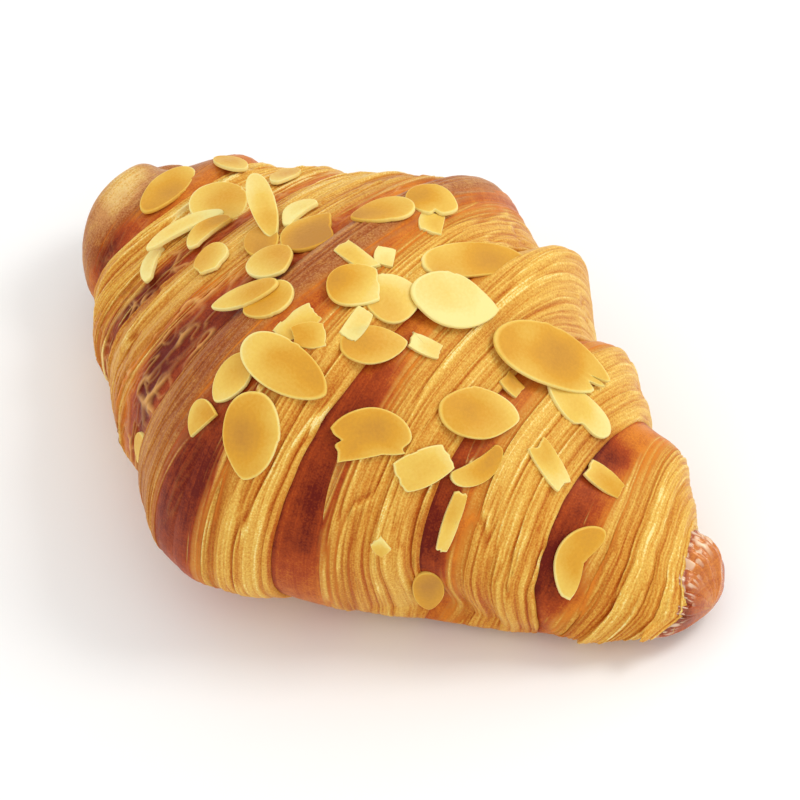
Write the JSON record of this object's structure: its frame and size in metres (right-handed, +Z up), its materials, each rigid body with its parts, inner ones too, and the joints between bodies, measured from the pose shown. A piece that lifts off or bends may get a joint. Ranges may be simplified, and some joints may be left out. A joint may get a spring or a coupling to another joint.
{
  "type": "almond croissant",
  "caption": "Baked almond croissant: a rolled, flaky pastry with blunt tapered ends and flaked almonds baked onto its browned crust.",
  "frame": {"origin": "on the flat base the croissant was baked on, under the middle of the roll", "axes": "+X along the roll towards its narrow end, -Y its near side, +Y the side its ends curve back to, +Z up from the base"},
  "size_m": [0.1535, 0.1044, 0.0633],
  "materials": {
    "crust": "satin"
  },
  "bodies": {
    "root": {"almond_croissant": "crust"}
  },
  "joints": []
}
